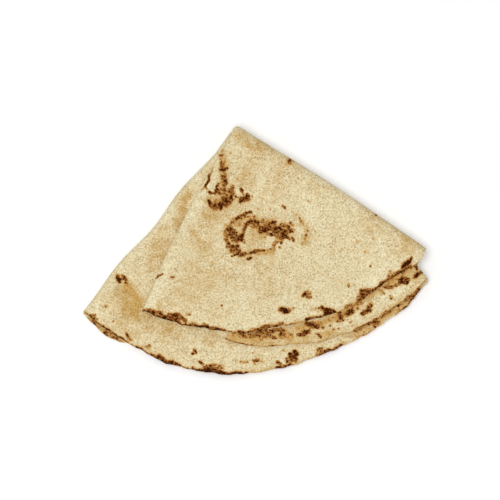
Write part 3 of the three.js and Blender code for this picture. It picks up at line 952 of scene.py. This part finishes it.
class Recipe:
    """Adds and joins the nodes of one material."""

    def __init__(self, name):
        self.material = bpy.data.materials.new(name)
        self.material.use_nodes = True
        self.nodes = self.material.node_tree.nodes
        self.links = self.material.node_tree.links
        self.shader = self.nodes["Principled BSDF"]

    def add(self, kind, inputs=(), **settings):
        node = self.nodes.new(kind)
        for key, value in settings.items():
            setattr(node, key, value)
        self.fill(node, dict(inputs))
        return node

    def fill(self, node, inputs):
        for key, value in inputs.items():
            if isinstance(value, bpy.types.NodeSocket):
                self.links.new(value, node.inputs[key])
            else:
                node.inputs[key].default_value = value

    def surface(self, colour, roughness, shine):
        inputs = {"Base Color": colour, "Roughness": roughness, "Specular IOR Level": shine}
        self.fill(self.shader, inputs)

    def kept(self, name):
        """A number that the mesh keeps for each point."""
        return self.add("ShaderNodeAttribute", attribute_name=name).outputs["Fac"]

    def math(self, operation, a, b):
        return self.add("ShaderNodeMath", {0: a, 1: b}, operation=operation).outputs[0]

    def total(self, first, *more):
        for value in more:
            first = self.math("ADD", first, value)
        return first

    def noise(self, at, size, detail, output="Fac"):
        """Noise whose lumps are about this many millimetres across."""
        inputs = {"Vector": at, "Scale": 1 / size, "Detail": detail}
        return self.add("ShaderNodeTexNoise", inputs).outputs[output]

    def cells(self, at, size):
        """Rounded cells this many millimetres across: the distance to each one's middle, and its lot."""
        outputs = self.add("ShaderNodeTexVoronoi", {"Vector": at, "Scale": 1 / size}).outputs
        lot = self.add("ShaderNodeSeparateColor", {"Color": outputs["Color"]}).outputs[0]
        return outputs["Distance"], lot

    def ramp(self, value, low, high, to_low=0, to_high=1):
        """Takes low to high over smoothly into to_low to to_high, and levels off outside."""
        return self.straight(value, low, high, to_low, to_high, "SMOOTHSTEP")

    def straight(self, value, low, high, to_low, to_high, kind="LINEAR"):
        """The same without the smoothing."""
        inputs = {"Value": value, "From Min": low, "From Max": high, "To Min": to_low, "To Max": to_high}
        return self.add("ShaderNodeMapRange", inputs, interpolation_type=kind).outputs["Result"]

    def mix(self, amount, a, b, blend="MIX"):
        inputs = {0: amount, 6: a, 7: b}
        return self.add("ShaderNodeMix", inputs, data_type="RGBA", blend_type=blend).outputs[2]


def baked_dough(r, mm, ochre_and_painted_light, patch, fine, grain):
    """Cream, ochre in places, with painted shade and highlights, and a grain of paler and darker specks."""
    uneven = r.math("MULTIPLY", r.straight(patch, 0.3, 0.7, -0.1, 0.1), r.ramp(ochre_and_painted_light, 0, 0.3))
    broad = r.ramp(r.noise(mm, BROAD, 3), 0.35, 0.7, 0, 0.16)
    mottle = r.ramp(r.noise(mm, MOTTLE, 1), 0.3, 0.75, -0.04, 0.05)
    ochre = r.total(ochre_and_painted_light, uneven, broad, r.ramp(patch, 0.3, 0.75, -0.08, 0.11), mottle)
    dough = r.mix(r.total(ochre, 0.2), CREAM, OCHRE)
    dough = r.mix(r.straight(fine, 0.5, 0.3, 0, 0.25), dough, SPECK)
    dough = r.mix(r.straight(grain, 0.5, 0.3, 0, 0.68), dough, GREY_GRAIN, "MULTIPLY")
    lighter = r.math("MULTIPLY", r.straight(grain, 0.52, 0.72, 0, 0.6), r.ramp(ochre, 0.1, 0.9, 1, 0.2))
    return r.mix(lighter, dough, FLOUR)


def brown_pits_and_shade(r, mm, pitted_and_shade):
    """Where the small brown pits are, some of them painted shade. They are crowded in places."""
    away, lot = r.cells(mm, PITS)
    chance = r.total(lot, r.math("MULTIPLY", pitted_and_shade, 0.35))
    crowded = r.math("MAXIMUM", pitted_and_shade, r.ramp(r.noise(mm, CROWDS, 2), 0.4, 0.6, 0.2, 1))
    pit_and_shade = r.math("MULTIPLY", r.ramp(away, 0.14, 0.34, 1, 0), r.ramp(chance, 0.62, 0.72))
    return r.math("MULTIPLY", pit_and_shade, crowded)


def toasting_and_shade(r, mm, dough, char_and_shade, fine, grain):
    """Starts as an ochre halo and turns brown, with small dark blisters that grow together. Painted shadow
    takes the same colours.
    """
    broken = r.total(r.straight(grain, 0.25, 0.75, -0.3, 0.3), r.straight(fine, 0.25, 0.75, -0.35, 0.35))
    depth = r.total(char_and_shade, r.math("MULTIPLY", broken, r.ramp(char_and_shade, 0, 0.25)))
    crust = r.mix(r.ramp(depth, 0.05, 0.4, 0, 0.85), dough, TOAST_EDGE)
    crust = r.mix(r.ramp(depth, 0.25, 0.8), crust, TOAST)
    moved = {0: r.noise(mm, WANDER, 2, "Color"), 1: WANDER_FAR, 2: mm}
    wandered = r.add("ShaderNodeVectorMath", moved, operation="MULTIPLY_ADD").outputs[0]
    growth = r.total(
        r.straight(depth, 0.12, 0.6, 0.02, 0.19),
        r.straight(depth, 0.6, 0.9, 0, 0.22),
        r.straight(depth, 0.9, 1.1, 0, 0.5),
    )
    burnt = r.mix(r.ramp(depth, 0.75, 1.05), BURNT, BURNT_THROUGH)
    for size, share in BLISTERS:
        away, lot = r.cells(wandered, size)
        grown = r.math("MULTIPLY", growth, r.straight(lot, 0, 1, 0.5 * share, 1.5 * share))
        dark = r.math("SUBTRACT", grown, away)
        crust = r.mix(r.ramp(dark, -0.1, 0.12, 0, 0.95), crust, burnt)
    return crust


def crust_material():
    """Pale baked dough with ochre places, freckles and toasted marks, and some painted shade and highlights.
    """
    r = Recipe("crust")
    here = r.add("ShaderNodeTexCoord").outputs["Object"]
    mm = r.add("ShaderNodeVectorMath", {0: here, 1: (1 / MM,) * 3}, operation="MULTIPLY").outputs[0]
    patch = r.noise(mm, PATCH, 3)
    fine = r.noise(mm, FINE, 2)
    grain = r.noise(mm, GRAIN, 1)
    dough = baked_dough(r, mm, r.kept("ochre_and_painted_light"), patch, fine, grain)
    pit_and_shade = brown_pits_and_shade(r, mm, r.kept("pitted_and_shade"))
    dough = r.mix(r.math("MULTIPLY", pit_and_shade, 0.8), dough, PIT_AND_SHADE)
    r.surface(toasting_and_shade(r, mm, dough, r.kept("char_and_shade"), fine, grain), 0.85, 0.03)
    height = r.total(patch, r.math("MULTIPLY", fine, 0.4))
    height = r.math("SUBTRACT", height, r.math("MULTIPLY", pit_and_shade, 0.3))
    bump = r.add("ShaderNodeBump", {"Height": height, "Strength": 0.6, "Distance": 0.8 * MM})
    r.fill(r.shader, {"Normal": bump.outputs["Normal"]})
    return r.material


# The studio, in metres
FLOOR_SIZE = 6
FLOOR_COLOUR = linear(254, 254, 254)
SKY_LIGHT = 0.54
LAMP_AT = (-0.5, -0.8, 2.6)
LAMP_SIZE = 1.8
LAMP_POWER = 47


def floor_material():
    r = Recipe("pale floor")
    r.surface(FLOOR_COLOUR, 0.9, 0.1)
    return r.material


def add_floor():
    bpy.ops.mesh.primitive_plane_add(size=FLOOR_SIZE)
    floor = bpy.context.object
    floor.name = "floor"
    floor.data.materials.append(floor_material())


def look_at(obj, position, target):
    obj.location = position
    obj.rotation_euler = (Vector(target) - Vector(position)).to_track_quat("-Z", "Y").to_euler()


def add_lights():
    """An even white sky and one large soft lamp."""
    world = bpy.data.worlds.new("studio")
    bpy.context.scene.world = world
    world.use_nodes = True
    background = world.node_tree.nodes["Background"]
    background.inputs["Color"].default_value = (1, 1, 1, 1)
    background.inputs["Strength"].default_value = SKY_LIGHT
    lamp = bpy.data.lights.new("key", "AREA")
    lamp.size = LAMP_SIZE
    lamp.energy = LAMP_POWER
    light = bpy.data.objects.new("key", lamp)
    bpy.context.scene.collection.objects.link(light)
    look_at(light, LAMP_AT, (0, 0, 0))


def add_camera():
    """Looks down from the front and from afar, almost without perspective."""
    rise = math.radians(CAMERA_RISE)
    across = (PICTURE_SIDE / 2 - PICTURE_ORIGIN[0]) * PIXEL * MM
    up = (PICTURE_ORIGIN[1] - PICTURE_SIDE / 2) * PIXEL * MM / math.sin(rise)
    target = Vector((across, up, 0))
    seen = bpy.data.cameras.new("camera")
    seen.lens = seen.sensor_width * CAMERA_AWAY / (PICTURE_SIDE * PIXEL * MM)
    camera = bpy.data.objects.new("camera", seen)
    bpy.context.scene.collection.objects.link(camera)
    look_at(camera, target + CAMERA_AWAY * Vector((0, -math.cos(rise), math.sin(rise))), target)
    bpy.context.scene.camera = camera


bread = make_bread()
bread.data.materials.append(crust_material())
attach(bread, "root")
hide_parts("saj_bread")
add_floor()
add_lights()
add_camera()
bpy.context.scene.view_settings.view_transform = "Standard"
